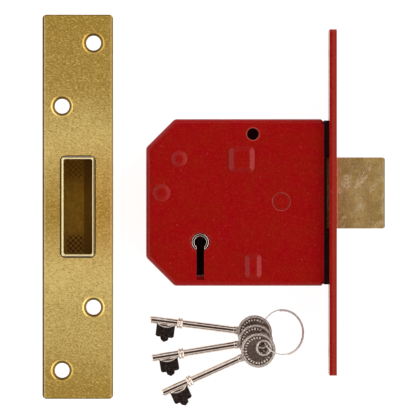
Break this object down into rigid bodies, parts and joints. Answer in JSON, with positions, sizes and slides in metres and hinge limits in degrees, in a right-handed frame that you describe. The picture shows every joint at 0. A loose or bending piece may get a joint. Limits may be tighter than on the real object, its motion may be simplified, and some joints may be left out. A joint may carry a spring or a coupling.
{
  "type": "deadbolt door lock",
  "caption": "Lever mortice deadlock with a cut-cornered case, two-layer forend and thrown bolt, with its box keep and its keys on a split ring, laid out flat.",
  "frame": {"origin": "on the key axis, at the middle of the case's thickness", "axes": "+X out along the bolt, +Y up along the forend, +Z out of the case's face"},
  "size_m": [0.1438, 0.1647, 0.024],
  "materials": {
    "red_paint": "gloss paint",
    "black_steel": "black, dull",
    "steel": "plain zinc-plated steel",
    "spring_steel": "spring temper",
    "nickel": "nickel plate",
    "bolt_brass": "worn, scratched",
    "keep_brass": "satin, fine grain",
    "box_brass": "dull inside, bright cut rim",
    "lever_brass": "stamped",
    "key_bit": "blackened",
    "key_bow": "dark nickel",
    "ring_steel": "spring steel wire"
  },
  "bodies": {
    "lock_case": {"case_face": "red_paint", "case_wall": "red_paint", "case_cap": "red_paint", "cap_screws": "steel", "case_pillars": "steel", "front_bracket": "black_steel", "forend_inner": "red_paint", "forend_outer": "red_paint", "forend_screws": "steel", "front_drill_plate": "red_paint", "back_drill_plate": "steel", "plate_rivets": "red_paint", "fixing_sleeve": "steel", "lever_post": "steel"},
    "curtain": {"curtain": "nickel"},
    "bolt": {"bolt_head": "bolt_brass", "bolt_tail": "steel", "bolt_stump": "steel", "bolt_rods": "steel", "bolt_rivets": "steel"},
    "lever_1": {"lever_1": "lever_brass", "lever_spring_1": "spring_steel"},
    "lever_2": {"lever_2": "lever_brass", "lever_spring_2": "spring_steel"},
    "lever_3": {"lever_3": "lever_brass", "lever_spring_3": "spring_steel"},
    "lever_4": {"lever_4": "lever_brass", "lever_spring_4": "spring_steel"},
    "lever_5": {"lever_5": "lever_brass", "lever_spring_5": "spring_steel"},
    "keep": {"keep_plate": "keep_brass", "keep_box": "box_brass"},
    "key_ring": {"split_ring": "ring_steel"},
    "key_1": {"key_1_shank": "nickel", "key_1_bit": "key_bit", "key_1_bow": "key_bow"},
    "key_2": {"key_2_shank": "nickel", "key_2_bit": "key_bit", "key_2_bow": "key_bow"},
    "key_3": {"key_3_shank": "nickel", "key_3_bit": "key_bit", "key_3_bow": "key_bow"}
  },
  "joints": [
    {"name": "bolt_throw", "type": "slide", "parent": "lock_case", "child": "bolt", "axis": [1, 0, 0], "range_m": [-0.0203, 0]},
    {"name": "curtain_turn", "type": "hinge", "parent": "lock_case", "child": "curtain", "pos_m": [0, 0, 0], "axis": [0, 0, 1], "range_deg": [0, 360]},
    {"name": "lever_1_lift", "type": "hinge", "parent": "lock_case", "child": "lever_1", "pos_m": [-0.0163, 0.0207, 0], "axis": [0, 0, 1], "range_deg": [0, 6], "deforming": ["lever_spring_1"]},
    {"name": "lever_2_lift", "type": "hinge", "parent": "lock_case", "child": "lever_2", "pos_m": [-0.0163, 0.0207, 0], "axis": [0, 0, 1], "range_deg": [0, 7.5], "deforming": ["lever_spring_2"]},
    {"name": "lever_3_lift", "type": "hinge", "parent": "lock_case", "child": "lever_3", "pos_m": [-0.0163, 0.0207, 0], "axis": [0, 0, 1], "range_deg": [0, 6.5], "deforming": ["lever_spring_3"]},
    {"name": "lever_4_lift", "type": "hinge", "parent": "lock_case", "child": "lever_4", "pos_m": [-0.0163, 0.0207, 0], "axis": [0, 0, 1], "range_deg": [0, 8], "deforming": ["lever_spring_4"]},
    {"name": "lever_5_lift", "type": "hinge", "parent": "lock_case", "child": "lever_5", "pos_m": [-0.0163, 0.0207, 0], "axis": [0, 0, 1], "range_deg": [0, 7], "deforming": ["lever_spring_5"]},
    {"name": "keep_lift", "type": "slide", "parent": "lock_case", "child": "keep", "axis": [0, 0, 1], "range_m": [0, 0.04]},
    {"name": "key_ring_lift", "type": "slide", "parent": "lock_case", "child": "key_ring", "axis": [0, 0, 1], "range_m": [0, 0.04]},
    {"name": "key_1_swing", "type": "hinge", "parent": "key_ring", "child": "key_1", "pos_m": [0.0256, -0.0388, -0.0095], "axis": [0, 0, 1], "range_deg": [-7, 2]},
    {"name": "key_2_swing", "type": "hinge", "parent": "key_ring", "child": "key_2", "pos_m": [0.026, -0.0418, -0.0076], "axis": [-0.0534, -0.0086, 0.9985], "range_deg": [-2, 1.5]},
    {"name": "key_3_swing", "type": "hinge", "parent": "key_ring", "child": "key_3", "pos_m": [0.0269, -0.0448, -0.0057], "axis": [-0.089, -0.0399, 0.9952], "range_deg": [-3, 30]}
  ],
  "couplings": [
    {"joint": "curtain_turn", "follows": "bolt_throw", "rad_per_m": -309.5},
    {"joint": "lever_1_lift", "follows": "bolt_throw", "rad_per_m": -5.158},
    {"joint": "lever_2_lift", "follows": "bolt_throw", "rad_per_m": -6.448},
    {"joint": "lever_3_lift", "follows": "bolt_throw", "rad_per_m": -5.588},
    {"joint": "lever_4_lift", "follows": "bolt_throw", "rad_per_m": -6.878},
    {"joint": "lever_5_lift", "follows": "bolt_throw", "rad_per_m": -6.018}
  ]
}
